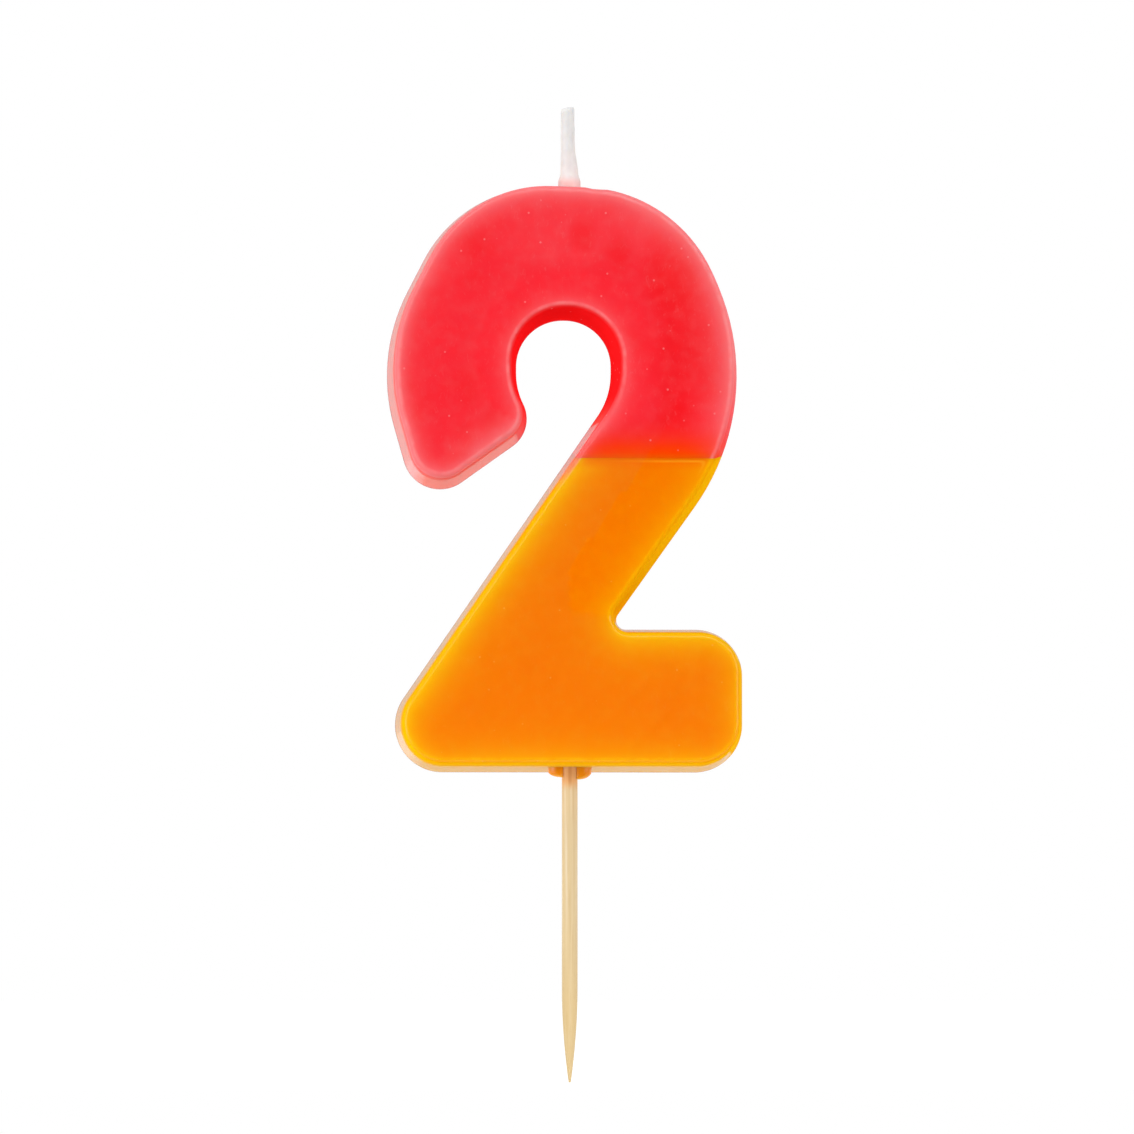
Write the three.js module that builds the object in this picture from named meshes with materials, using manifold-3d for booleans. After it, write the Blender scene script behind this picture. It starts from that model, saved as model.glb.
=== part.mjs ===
// Number birthday candle: a wax digit cast in two colours around a cotton wick and a wooden pick.
// Millimetres, +Z up, +X to the reader's right. The moulded face looks along -Y and the poured
// back along +Y. The origin is on the pick's axis, level with the underside of the digit's foot.

import * as THREE from "three";
import { mergeVertices } from "three/addons/utils/BufferGeometryUtils.js";
import Module from "manifold-3d";

const wasm = await Module();
wasm.setup();

// Overall sizes of the wax digit, taken on its back, where the mould is widest. Heights are those of
// the outline's straight sides before they are rounded.
const digitHeight = 75;
const digitThickness = 10;
const headWidth = 44.2;
const headShift = -0.75; // the head's middle, sideways of the pick's axis
const footWidth = 43.9;
const footShift = 0.2; // the foot's middle, the same way
const footHeight = 18.2;

// How the mould shapes the walls.
const mouldDraft = 0.9; // each wall leans in by this much from the back to the front edge
const frontEdgeRadius = 0.8;

// Foot: the bar that the diagonal stands on.
const toeRun = 5.65; // the diagonal's left face, run on down, lands this far past the foot's end
const toeRadius = 6;
const heelRadius = 6.1;
const heelTopRadius = 5.9;
const notchIn = 17.3; // from the heel to where the diagonal's right face meets the top of the foot
const notchRadius = 1.2;

// Head: sides that bulge past its width before they are rounded, and drops from the crown.
const bowlOut = 5.2;
const bowlDrop = 27.1;
const bowlRadius = 29.6;
const crownRightIn = 8.45;
const crownRightDrop = 0.45;
const crownRightRadius = 19.2;
const crownLeftIn = 9.8;
const crownLeftRadius = 18.4;
const cheekOut = 1.85;
const cheekDrop = 21.9;
const cheekRadius = 23.3;

// Hook: the head's free end.
const hookTipIn = 3.9;
const hookTipDrop = 41.8;
const hookTipRadius = 4.5;
const hookHeelSide = 2.5; // past the counter's left side
const hookHeelDrop = 31.4;
const hookHeelRadius = 4.3;

// Counter: the open space inside the head.
const counterWidth = 12.1;
const counterShift = -0.53;
const crownWax = 17.4; // wax between the crown and the counter
const counterRadius = 6;
const counterLeftDrop = 26.2;
const counterLeftRadius = 8.9;
const counterRightDrop = 27.1;
const counterRightRadius = 9.5;

// Where one wax ends and the other begins, at mid-thickness.
const colourLine = 39.85;
const colourLineTilt = 6; // degrees that the set surface climbs towards the back
const hookSpaceMargin = 1.2; // empty space kept with the upper wax under the hook and beside it

// Wick: a cotton braid, bare where it is cast in and waxed where it stands out.
const wickSide = -0.3;
const wickExposed = 10.05;
const wickEmbedded = 12;
const braidRadius = 0.7;
const wickRootRadius = 1.2;
const wickTopRadius = 0.85;
const wickFlareHeight = 5;

// Pick: a round stick with two points.
const pickLength = 65;
const pickDepth = 25.8; // how much of it the wax holds
const pickRadius = 1;
const pickPointLength = 11.5;
const pickTipRadius = 0.15;

// Bead of wax round the pick under the foot.
const sealRadius = 2.8;
const sealDrop = 0.95;

const castGap = 0.3; // between a piece and the wax that is cast around it
const arcStep = THREE.MathUtils.degToRad(5);
const edgeSteps = 4;
const roundSides = 24;

// Heights that several pieces share.
const crownAtWick = digitHeight - crownRightDrop / 2 - wallLean(0);
const bendHeight = crownAtWick + castGap + wickRootRadius;

// How far a wall has leaned in at depth y, from nothing at the back face.
function wallLean(y) {
  const wallDepth = digitThickness - frontEdgeRadius;
  return (mouldDraft * (digitThickness / 2 - y)) / wallDepth;
}

// Corner of the outline: where its two sides would meet, and the radius that rounds them off.
function corner(x, z, radius) {
  return { at: new THREE.Vector2(x, z), radius };
}

// The digit's corners, anticlockwise as the reader sees them.
function digitCorners() {
  const toe = footShift - footWidth / 2;
  const heel = footShift + footWidth / 2;
  const headLeft = headShift - headWidth / 2;
  const headRight = headShift + headWidth / 2;
  const counterLeft = counterShift - counterWidth / 2;
  const counterRight = counterShift + counterWidth / 2;
  const counterTop = digitHeight - crownWax;
  return [
    corner(toe - toeRun, 0, toeRadius),
    corner(heel, 0, heelRadius),
    corner(heel, footHeight, heelTopRadius),
    corner(heel - notchIn, footHeight, notchRadius),
    corner(headRight + bowlOut, digitHeight - bowlDrop, bowlRadius),
    corner(headRight - crownRightIn, digitHeight - crownRightDrop, crownRightRadius),
    corner(headLeft + crownLeftIn, digitHeight, crownLeftRadius),
    corner(headLeft - cheekOut, digitHeight - cheekDrop, cheekRadius),
    corner(headLeft + hookTipIn, digitHeight - hookTipDrop, hookTipRadius),
    corner(counterLeft + hookHeelSide, digitHeight - hookHeelDrop, hookHeelRadius),
    corner(counterLeft, digitHeight - counterLeftDrop, counterLeftRadius),
    corner(counterLeft, counterTop, counterRadius),
    corner(counterRight, counterTop, counterRadius),
    corner(counterRight, digitHeight - counterRightDrop, counterRightRadius),
  ];
}

// Side of the outline moved inwards, which is to its left.
function insetSide(from, to, inset) {
  const along = to.clone().sub(from).normalize();
  const inward = new THREE.Vector2(-along.y, along.x);
  return { start: from.clone().addScaledVector(inward, inset), along };
}

// Rounded bend where one side runs into the next.
function bendBetween(before, after, radius, inset) {
  const turn = Math.atan2(before.along.cross(after.along), before.along.dot(after.along));
  const reach = after.start.clone().sub(before.start).cross(after.along);
  const at = before.start.clone().addScaledVector(before.along, reach / before.along.cross(after.along));
  const rounded = radius - Math.sign(turn) * inset;
  return { at, along: before.along, turn, cut: rounded * Math.tan(Math.abs(turn) / 2) };
}

// Shortens the cuts of neighbouring bends that would meet, leaving a little straight between them.
function limitCuts(bends) {
  const limits = bends.map(() => 1);
  bends.forEach((bend, i) => {
    const j = (i + 1) % bends.length;
    const room = 0.98 * bend.at.distanceTo(bends[j].at);
    const share = Math.min(1, room / (bend.cut + bends[j].cut));
    limits[i] = Math.min(limits[i], share);
    limits[j] = Math.min(limits[j], share);
  });
  return bends.map((bend, i) => ({ ...bend, cut: bend.cut * limits[i] }));
}

function arcPoints(bend) {
  const steps = Math.max(3, Math.ceil(Math.abs(bend.turn) / arcStep));
  const radius = bend.cut / Math.tan(bend.turn / 2);
  const start = bend.at.clone().addScaledVector(bend.along, -bend.cut);
  const side = new THREE.Vector2(-bend.along.y, bend.along.x);
  return Array.from({ length: steps + 1 }, (_, i) => {
    const angle = (bend.turn * i) / steps;
    return start
      .clone()
      .addScaledVector(bend.along, radius * Math.sin(angle))
      .addScaledVector(side, radius * (1 - Math.cos(angle)));
  });
}

// The digit's outline, moved in by inset all round.
function outline(inset) {
  const corners = digitCorners();
  const sides = corners.map((c, i) => insetSide(c.at, corners[(i + 1) % corners.length].at, inset));
  const bends = corners.map((c, i) => bendBetween(sides.at(i - 1), sides[i], c.radius, inset));
  return limitCuts(bends).flatMap(arcPoints);
}

// Outlines from the back face to the front one: the leaning wall, then the rounded front edge.
function digitSections() {
  const back = digitThickness / 2;
  const sections = [{ y: back, inset: 0 }];
  for (let i = 0; i <= edgeSteps; i += 1) {
    const angle = (Math.PI / 2) * (i / edgeSteps);
    sections.push({
      y: -back + frontEdgeRadius * (1 - Math.sin(angle)),
      inset: mouldDraft + frontEdgeRadius * (1 - Math.cos(angle)),
    });
  }
  return sections;
}

// Both castings in one, as the mould leaves them.
function digitGeometry() {
  const rings = digitSections().map((section) => ({ y: section.y, points: outline(section.inset) }));
  const size = rings[0].points.length;
  const positions = rings.flatMap((ring) => ring.points.flatMap((p) => [p.x, ring.y, p.y]));
  const faces = [];
  for (let ring = 0; ring < rings.length - 1; ring += 1) {
    for (let i = 0; i < size; i += 1) {
      const a = ring * size + i;
      const b = ring * size + ((i + 1) % size);
      faces.push(a, b, b + size, a, b + size, a + size);
    }
  }
  const last = (rings.length - 1) * size;
  const backCap = THREE.ShapeUtils.triangulateShape(rings[0].points, []);
  const frontCap = THREE.ShapeUtils.triangulateShape(rings.at(-1).points, []);
  backCap.forEach(([a, b, c]) => faces.push(a, c, b));
  frontCap.forEach(([a, b, c]) => faces.push(last + a, last + b, last + c));
  const geometry = new THREE.BufferGeometry();
  geometry.setAttribute("position", new THREE.Float32BufferAttribute(positions, 3));
  geometry.setIndex(faces);
  return geometry;
}

// Solid of revolution about +Z from [radius, height] pairs, listed upwards.
function turned(profile) {
  const points = profile.map(([radius, height]) => new THREE.Vector2(radius, height));
  return new THREE.LatheGeometry(points, roundSides).rotateX(Math.PI / 2);
}

function boxBetween(low, high) {
  const size = new THREE.Vector3().subVectors(high, low);
  const middle = new THREE.Vector3().addVectors(low, high).multiplyScalar(0.5);
  return new THREE.BoxGeometry(size.x, size.y, size.z).translate(middle.x, middle.y, middle.z);
}

function toSolid(geometry) {
  const bare = geometry.clone();
  bare.deleteAttribute("normal");
  bare.deleteAttribute("uv");
  const merged = mergeVertices(bare);
  const vertProperties = new Float32Array(merged.attributes.position.array);
  const triVerts = new Uint32Array(merged.index.array);
  return new wasm.Manifold(new wasm.Mesh({ numProp: 3, vertProperties, triVerts }));
}

function toGeometry(solid) {
  const mesh = solid.getMesh();
  const geometry = new THREE.BufferGeometry();
  geometry.setAttribute("position", new THREE.BufferAttribute(mesh.vertProperties, 3));
  geometry.setIndex(new THREE.BufferAttribute(mesh.triVerts, 1));
  return geometry;
}

// Space of the lower wax: everything under the set surface, but not round the hook.
function lowerSpace(lift) {
  const far = 2 * digitHeight;
  const below = boxBetween(new THREE.Vector3(-far, -far, -far), new THREE.Vector3(far, far, 0));
  below.rotateX(THREE.MathUtils.degToRad(colourLineTilt)).translate(0, 0, colourLine + lift);
  const hookRight = counterShift - counterWidth / 2 + hookSpaceMargin;
  const hookBottom = digitHeight - hookTipDrop + hookSpaceMargin;
  const hookLow = new THREE.Vector3(-far, -far, hookBottom);
  const hookSpace = boxBetween(hookLow, new THREE.Vector3(hookRight, far, far));
  return toSolid(below).subtract(toSolid(hookSpace));
}

// The pick's shape, or the bore for it when grown.
function pickGeometry(grow) {
  const top = pickDepth + grow;
  const bottom = pickDepth - pickLength - grow;
  return turned([
    [0, bottom],
    [pickTipRadius + grow, bottom],
    [pickRadius + grow, bottom + pickPointLength],
    [pickRadius + grow, top - pickPointLength],
    [pickTipRadius + grow, top],
    [0, top],
  ]);
}

// The cotton inside the wax, or the hole for it when grown.
function braidGeometry(grow, top) {
  const bottom = crownAtWick - wickEmbedded - grow;
  const radius = braidRadius + grow;
  return turned([[0, bottom], [radius, bottom], [radius, top], [0, top]]).translate(wickSide, 0, 0);
}

function headWax() {
  const wickHole = braidGeometry(castGap, digitHeight + castGap);
  return toGeometry(toSolid(digitGeometry()).subtract(lowerSpace(castGap / 2)).subtract(toSolid(wickHole)));
}

function footWax() {
  const bore = toSolid(pickGeometry(castGap));
  return toGeometry(toSolid(digitGeometry()).intersect(lowerSpace(-castGap / 2)).subtract(bore));
}

// Waxed wick above the head, standing on a ball that turns about the bend.
function waxedWick() {
  const profile = [];
  for (let i = 0; i <= 6; i += 1) {
    const angle = (Math.PI / 2) * (i / 6);
    profile.push([wickRootRadius * Math.sin(angle), -wickRootRadius * Math.cos(angle)]);
  }
  const top = crownAtWick + wickExposed - bendHeight;
  profile.push([wickTopRadius, wickFlareHeight - wickRootRadius]);
  profile.push([wickTopRadius, top]);
  profile.push([0, top]);
  return turned(profile);
}

// Domed ring under the foot. Its flat top stays clear of the leaning underside.
function sealBead() {
  const inner = pickRadius + castGap;
  const top = wallLean(sealRadius) - castGap;
  const profile = [[inner, top]];
  profile.push([inner, -sealDrop]);
  for (let i = 1; i <= 6; i += 1) {
    const angle = (Math.PI / 2) * (i / 6);
    const radius = inner + (sealRadius - inner) * Math.sin(angle);
    profile.push([radius, top - (sealDrop + top) * Math.cos(angle)]);
  }
  profile.push([inner, top]);
  return turned(profile);
}

function piece(name, geometry, colour, roughness) {
  const material = new THREE.MeshStandardMaterial({ color: colour, roughness, metalness: 0 });
  const mesh = new THREE.Mesh(geometry, material);
  mesh.name = name;
  return mesh;
}

const candle = new THREE.Group();
candle.add(piece("head_wax", headWax(), 0xfc333d, 0.35));
candle.add(piece("foot_wax", footWax(), 0xfa7c02, 0.35));
candle.add(piece("wick_root", braidGeometry(0, crownAtWick), 0xe9e2d6, 0.9));
candle.add(piece("pick", pickGeometry(0), 0xe6c68e, 0.7));
candle.add(piece("pick_seal", sealBead(), 0xf08a1c, 0.4));

const wick = piece("wick", waxedWick(), 0xeeebe6, 0.5);
wick.position.set(wickSide, 0, bendHeight);
candle.add(wick);

export default candle;
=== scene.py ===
import math

import bmesh
import bpy
import numpy as np
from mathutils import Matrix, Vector, noise
from mathutils.geometry import delaunay_2d_cdt


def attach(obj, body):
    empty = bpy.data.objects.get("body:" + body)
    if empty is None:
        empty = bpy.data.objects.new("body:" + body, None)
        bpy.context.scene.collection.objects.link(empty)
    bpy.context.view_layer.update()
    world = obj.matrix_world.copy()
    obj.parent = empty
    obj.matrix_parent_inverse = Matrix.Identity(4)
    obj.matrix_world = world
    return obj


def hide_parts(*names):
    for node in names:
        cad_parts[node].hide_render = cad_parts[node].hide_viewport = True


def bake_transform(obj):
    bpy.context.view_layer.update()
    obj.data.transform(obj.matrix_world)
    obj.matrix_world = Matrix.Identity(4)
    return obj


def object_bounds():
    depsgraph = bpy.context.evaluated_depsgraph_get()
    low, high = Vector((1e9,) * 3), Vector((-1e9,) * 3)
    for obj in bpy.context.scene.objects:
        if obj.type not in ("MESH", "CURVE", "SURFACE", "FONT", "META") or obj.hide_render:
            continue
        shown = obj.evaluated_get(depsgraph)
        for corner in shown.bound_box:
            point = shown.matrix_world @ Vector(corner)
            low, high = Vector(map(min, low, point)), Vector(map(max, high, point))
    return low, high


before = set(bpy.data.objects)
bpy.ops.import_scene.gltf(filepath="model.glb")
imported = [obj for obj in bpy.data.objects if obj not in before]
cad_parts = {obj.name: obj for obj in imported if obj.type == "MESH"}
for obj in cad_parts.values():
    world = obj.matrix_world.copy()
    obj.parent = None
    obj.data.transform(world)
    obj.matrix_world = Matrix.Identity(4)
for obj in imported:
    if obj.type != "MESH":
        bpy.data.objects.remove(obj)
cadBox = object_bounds()
mm = 0.001  # sizes below are in millimetres, as they are on the bench


def linear(hexColour, alpha=1.0):
    parts = [int(hexColour[i:i + 2], 16) / 255 for i in (0, 2, 4)]
    return [c / 12.92 if c <= 0.04045 else ((c + 0.055) / 1.055) ** 2.4 for c in parts] + [alpha]


def setInputs(tree, node, inputs):
    for key, value in inputs.items():
        if isinstance(value, bpy.types.NodeSocket):
            tree.links.new(value, node.inputs[key])
        else:
            node.inputs[key].default_value = value


def addNode(tree, kind, inputs=None, **settings):
    node = tree.nodes.new(kind)
    for name, value in settings.items():
        setattr(node, name, value)
    setInputs(tree, node, inputs or {})
    return node


def maths(tree, operation, *values):
    return addNode(tree, "ShaderNodeMath", dict(enumerate(values)), operation=operation).outputs[0]


def vectors(tree, operation, *values):
    return addNode(tree, "ShaderNodeVectorMath", dict(enumerate(values)), operation=operation).outputs


def product(tree, first, *others):
    for other in others:
        first = maths(tree, "MULTIPLY", first, other)
    return first


def ramp(tree, value, low, high, atLow=0.0, atHigh=1.0, way="LINEAR"):
    return addNode(tree, "ShaderNodeMapRange",
                   {"Value": value, "From Min": low, "From Max": high, "To Min": atLow, "To Max": atHigh},
                   interpolation_type=way).outputs["Result"]


def softRamp(tree, value, low, high, atLow=0.0, atHigh=1.0):
    return ramp(tree, value, low, high, atLow, atHigh, "SMOOTHSTEP")


def mixed(tree, share, first, second):  # colour between first and second
    return addNode(tree, "ShaderNodeMix", {0: share, 6: first, 7: second}, data_type="RGBA").outputs[2]


def noiseAt(tree, place, size, detail, output="Fac", **inputs):  # size in millimetres
    return addNode(tree, "ShaderNodeTexNoise",
                   {"Vector": place, "Scale": 1 / (size * mm), "Detail": detail, **inputs}).outputs[output]


def stretchedNoise(tree, place, sizes, detail, lean=0.0, distortion=0.0):  # a size for each axis
    drawnOut = addNode(tree, "ShaderNodeMapping", {"Vector": place, "Rotation": (0, lean, 0),
                                                   "Scale": [1 / (size * mm) for size in sizes]})
    return addNode(tree, "ShaderNodeTexNoise",
                   {"Vector": drawnOut.outputs["Vector"], "Scale": 1.0, "Detail": detail,
                    "Distortion": distortion}).outputs["Fac"]


def bumpFrom(tree, height, distance, strength):  # distance in millimetres
    return addNode(tree, "ShaderNodeBump", {"Height": height, "Distance": distance * mm,
                                            "Strength": strength}).outputs["Normal"]


def newMaterial(name):
    material = bpy.data.materials.new(name)
    material.use_nodes = True
    tree = material.node_tree
    tree.nodes.clear()
    shader = addNode(tree, "ShaderNodeBsdfPrincipled")
    addNode(tree, "ShaderNodeOutputMaterial", {"Surface": shader.outputs["BSDF"]})
    return material, tree, shader


def newPiece(name, bm, material, body="candle", sharpAngle=35):
    mesh = bpy.data.meshes.new(name)
    bmesh.ops.recalc_face_normals(bm, faces=bm.faces)
    bm.to_mesh(mesh)
    bm.free()
    mesh.polygons.foreach_set("use_smooth", [True] * len(mesh.polygons))
    mesh.set_sharp_from_angle(angle=math.radians(sharpAngle))
    mesh.materials.append(material)
    piece = bpy.data.objects.new(name, mesh)
    bpy.context.collection.objects.link(piece)
    if body:
        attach(piece, body)
    return piece


def smoothStep(low, high, value):
    t = min(1.0, max(0.0, (value - low) / (high - low)))
    return t * t * (3 - 2 * t)


digit = dict(
    height=75, thickness=10,
    backEdge=0.12, backBevel=0.3,  # the soft edge of the poured back, and where its middle row lies
    draft=0.85, shoulderDepth=0.7, shoulderInset=0.6,  # the wall's lean, then the soft roll into the face
    headWidth=44.25, headShift=-0.87, footWidth=43.9, footShift=0.2, footHeight=18.17,
    toeRun=5.65, toeRadius=6, heelRadius=6.1, heelTopRadius=5.9, notchIn=17.16, notchRadius=1.2,
    bowlOut=4.79, bowlDrop=27.28, bowlRadius=29.67,
    crownRightIn=7.8, crownRightDrop=0.82, crownRightRadius=19.39,
    crownLeftIn=9.57, crownLeftRadius=17.35,
    cheekOut=1.75, cheekDrop=22.07, cheekRadius=23.61,
    hookTipIn=3.94, hookTipDrop=42.04, hookTipRadius=4.76,
    hookHeelSide=2.5, hookHeelDrop=31.4, hookHeelRadius=4.3,
    counterWidth=12.04, counterShift=-0.61, crownWax=17.42, counterRadius=6,
    counterLeftDrop=26.2, counterLeftRadius=8.9, counterRightDrop=27.18, counterRightRadius=9.59,
    arcStep=3.0,        # degrees between points round a bend
    straightStep=0.8,   # between points along a straight side
    wallSteps=8, shoulderSteps=11,
    faceStep=0.75,      # between points across the flat faces
    faceRow=0.866,      # rows this share of a step apart, for triangles with nearly equal sides
    faceEdge=0.6,       # share of a step kept free along the outline
    tightest=0.98,      # share of a side that its two bends may take up
)


def digitCorners():
    d = digit
    toe, heel = d["footShift"] - d["footWidth"] / 2, d["footShift"] + d["footWidth"] / 2
    left, right = d["headShift"] - d["headWidth"] / 2, d["headShift"] + d["headWidth"] / 2
    innerLeft = d["counterShift"] - d["counterWidth"] / 2
    innerRight = d["counterShift"] + d["counterWidth"] / 2
    top = d["height"]
    innerTop = top - d["crownWax"]
    return [
        (toe - d["toeRun"], 0, d["toeRadius"]),
        (heel, 0, d["heelRadius"]),
        (heel, d["footHeight"], d["heelTopRadius"]),
        (heel - d["notchIn"], d["footHeight"], d["notchRadius"]),
        (right + d["bowlOut"], top - d["bowlDrop"], d["bowlRadius"]),
        (right - d["crownRightIn"], top - d["crownRightDrop"], d["crownRightRadius"]),
        (left + d["crownLeftIn"], top, d["crownLeftRadius"]),
        (left - d["cheekOut"], top - d["cheekDrop"], d["cheekRadius"]),
        (left + d["hookTipIn"], top - d["hookTipDrop"], d["hookTipRadius"]),
        (innerLeft + d["hookHeelSide"], top - d["hookHeelDrop"], d["hookHeelRadius"]),
        (innerLeft, top - d["counterLeftDrop"], d["counterLeftRadius"]),
        (innerLeft, innerTop, d["counterRadius"]),
        (innerRight, innerTop, d["counterRadius"]),
        (innerRight, top - d["counterRightDrop"], d["counterRightRadius"]),
    ]


def bendsOf(inset):  # where each rounded corner sits once every side has moved in by inset
    corners = digitCorners()
    count = len(corners)
    sides = []
    for i, (x, z, _) in enumerate(corners):
        nextX, nextZ, _ = corners[(i + 1) % count]
        along = Vector((nextX - x, nextZ - z)).normalized()
        sides.append((Vector((x, z)) + Vector((-along.y, along.x)) * inset, along))
    bends = []
    for i, (_, _, radius) in enumerate(corners):
        (fromPoint, fromAlong), (toPoint, toAlong) = sides[i - 1], sides[i]
        cross = fromAlong.cross(toAlong)
        turn = math.atan2(cross, fromAlong.dot(toAlong))
        at = fromPoint + fromAlong * ((toPoint - fromPoint).cross(toAlong) / cross)
        cut = (radius - math.copysign(inset, turn)) * math.tan(abs(turn) / 2)
        bends.append(dict(at=at, along=fromAlong, turn=turn, cut=cut, limit=1.0))
    for i, bend in enumerate(bends):
        other = bends[(i + 1) % count]
        side = (bend["at"] - other["at"]).length
        share = min(1.0, digit["tightest"] * side / (bend["cut"] + other["cut"]))
        bend["limit"] = min(bend["limit"], share)
        other["limit"] = min(other["limit"], share)
    for bend in bends:
        bend["cut"] *= bend["limit"]
    return bends


def bendPoints(bend):
    steps = max(4, math.ceil(math.degrees(abs(bend["turn"])) / digit["arcStep"]))
    radius = bend["cut"] / math.tan(bend["turn"] / 2)
    start = bend["at"] - bend["along"] * bend["cut"]
    side = Vector((-bend["along"].y, bend["along"].x))
    angles = [bend["turn"] * i / steps for i in range(steps + 1)]
    ahead = bend["along"] * radius
    return [start + ahead * math.sin(a) + side * radius * (1 - math.cos(a)) for a in angles]


def straightCounts():
    arcs = [bendPoints(bend) for bend in bendsOf(0)]
    gaps = [(arcs[(i + 1) % len(arcs)][0] - arc[-1]).length for i, arc in enumerate(arcs)]
    return [max(1, round(gap / digit["straightStep"])) for gap in gaps]


def outlineRing(inset, counts):
    arcs = [bendPoints(bend) for bend in bendsOf(inset)]
    ring = []
    for i, arc in enumerate(arcs):
        ring += arc
        nextStart = arcs[(i + 1) % len(arcs)][0]
        ring += [arc[-1].lerp(nextStart, k / counts[i]) for k in range(1, counts[i])]
    return ring


colourJoin = dict(
    height=39.85, tilt=6.0,     # where the coral wax had set when the orange was poured
    hookMargin=1.2,             # air beside and under the hook that stays with the head
    loops=(-0.9, -0.45, -0.22, -0.1, 0.1, 0.22, 0.45, 0.9),
)
castSurface = dict(
    wave=0.035, waveSize=9.0, waveLayer=3.7, waveEase=2,  # slow unevenness of the moulded face
    lift=0.02, sink=0.28, sinkReach=4.5,                  # the poured back draws in as it cools
    ripple=0.05, rippleSize=5.0, rippleLayer=11.1, ease=1.5, backSet=0.03,
)
# The wick's hinge, cut end and root as heights, and two lengths below and above the hinge.
wickPlace = dict(x=-0.25, bend=75.786, top=84.36, foot=62.3, bendBelow=1.0, bendAbove=1.4)
crownDent = dict(x=3.1, depth=0.2, width=0.9, below=3)  # where the wax slumped beside the wick
wickFillet = dict(height=0.12, start=0.85, reach=1.0, power=1.3, fall=2.2,  # wax drawn up round the wick
                  netReaches=(3.4, 2.4), netDepth=2.5)
lightWay = (-0.5, 0.6)  # x and z of the side that most light comes from
halo = dict(right=0.55, rightTurn=(0.1, 0.8), crown=0.3, crownHeights=(64, 73))  # extra width of the painted pale rim
counterShade = dict(near=8.5, far=13.0, mouth=(-11, -2.5), noHalo=0.3)           # round the counter's round end
footShade = dict(turn=(0.45, 0.68), rise=(-1, 2), orange=0.8, coral=0.35)        # on the wall above the foot


def wallProfile():  # (depth, inset) from the poured back to the edge of the moulded face
    d = digit
    half, lip = d["thickness"] / 2, d["backEdge"]
    bevel = lip * d["backBevel"]
    rows = [(half, lip), (half - bevel, bevel), (half - lip, 0.0)]
    wallDepth = d["thickness"] - d["shoulderDepth"]
    for k in range(1, d["wallSteps"] + 1):
        share = k / d["wallSteps"]
        rows.append((half - wallDepth * share, d["draft"] * share))
    for k in range(1, d["shoulderSteps"] + 1):
        angle = math.pi / 2 * k / d["shoulderSteps"]
        rows.append((-half + d["shoulderDepth"] * (1 - math.sin(angle)),
                     d["draft"] + d["shoulderInset"] * (1 - math.cos(angle))))
    return rows


def facePoints(ring):  # a flat net inside the ring: its points and its triangles
    step = digit["faceStep"]
    rowStep = step * digit["faceRow"]
    loop = np.array([(p.x, p.y) for p in ring])
    low, high = loop.min(axis=0), loop.max(axis=0)
    columns = int((high[0] - low[0]) / step) + 1
    grid = []
    for row in range(int((high[1] - low[1]) / rowStep) + 1):
        shift = step / 2 * (row % 2)
        grid += [(low[0] + shift + column * step, low[1] + row * rowStep) for column in range(columns)]
    grid = np.array(grid)
    inside = insideLoop(grid, loop) & (loopDistance(grid, loop)[0] > step * digit["faceEdge"])
    points = [Vector(p) for p in loop] + [Vector(p) for p in grid[inside]]
    edges = [(i, (i + 1) % len(loop)) for i in range(len(loop))]
    made = delaunay_2d_cdt(points, edges, [], 1, 1e-6)
    order = [source[0] if source else None for source in made[3]]
    return points, [[order[i] for i in face] for face in made[2]]


def loopDistance(points, loop):  # distance to the loop, and which way the nearest side of it faces
    best = np.full(len(points), 1e9)
    facing = np.zeros(len(points))
    rightward = np.zeros(len(points))
    for a, b in zip(loop, np.roll(loop, -1, axis=0)):
        span = b - a
        t = np.clip(((points - a) @ span) / max(span @ span, 1e-12), 0, 1)
        away = np.linalg.norm(points - a - t[:, None] * span, axis=1)
        closer = away < best
        best[closer] = away[closer]
        facing[closer] = lit(span[1], -span[0])
        rightward[closer] = span[1] / max(np.linalg.norm(span), 1e-9)
    return best, facing, rightward


def haloAt(place, rightward):  # the painted pale rim runs further in on the right of the head and over the crown
    if place.z < colourJoin["height"] or inCounter(place) > counterShade["noHalo"]:
        return 1.0
    onRight = halo["right"] * smoothStep(*halo["rightTurn"], rightward)
    return 1.0 + onRight + halo["crown"] * smoothStep(*halo["crownHeights"], place.z)


def lit(outX, outZ):  # how far a side with this outward way faces the light
    return (lightWay[0] * outX + lightWay[1] * outZ) / max(math.hypot(outX, outZ), 1e-9)


def insideLoop(points, loop):
    inside = np.zeros(len(points), bool)
    for (x0, z0), (x1, z1) in zip(loop, np.roll(loop, -1, axis=0)):
        if z0 == z1:
            continue
        crosses = (z0 > points[:, 1]) != (z1 > points[:, 1])
        inside ^= crosses & (points[:, 0] < (x1 - x0) * (points[:, 1] - z0) / (z1 - z0) + x0)
    return inside


def joinHeight(y):
    return colourJoin["height"] + math.tan(math.radians(colourJoin["tilt"])) * y


def hookRight():
    return digit["counterShift"] - digit["counterWidth"] / 2 + colourJoin["hookMargin"]


def hookBottom():
    return digit["height"] - digit["hookTipDrop"] + colourJoin["hookMargin"]


def crownShape(x, y, z):  # lift near the crown: the fillet round the wick and the dent beside it
    if z <= digit["height"] - crownDent["below"]:
        return 0.0
    f = wickFillet
    away = max(0.0, math.hypot(x - wickPlace["x"], y) - f["start"])
    lift = f["height"] * math.exp(-((away / f["reach"]) ** f["power"]) * f["fall"])
    return lift - crownDent["depth"] * math.exp(-((x - crownDent["x"]) / crownDent["width"]) ** 2)


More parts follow.
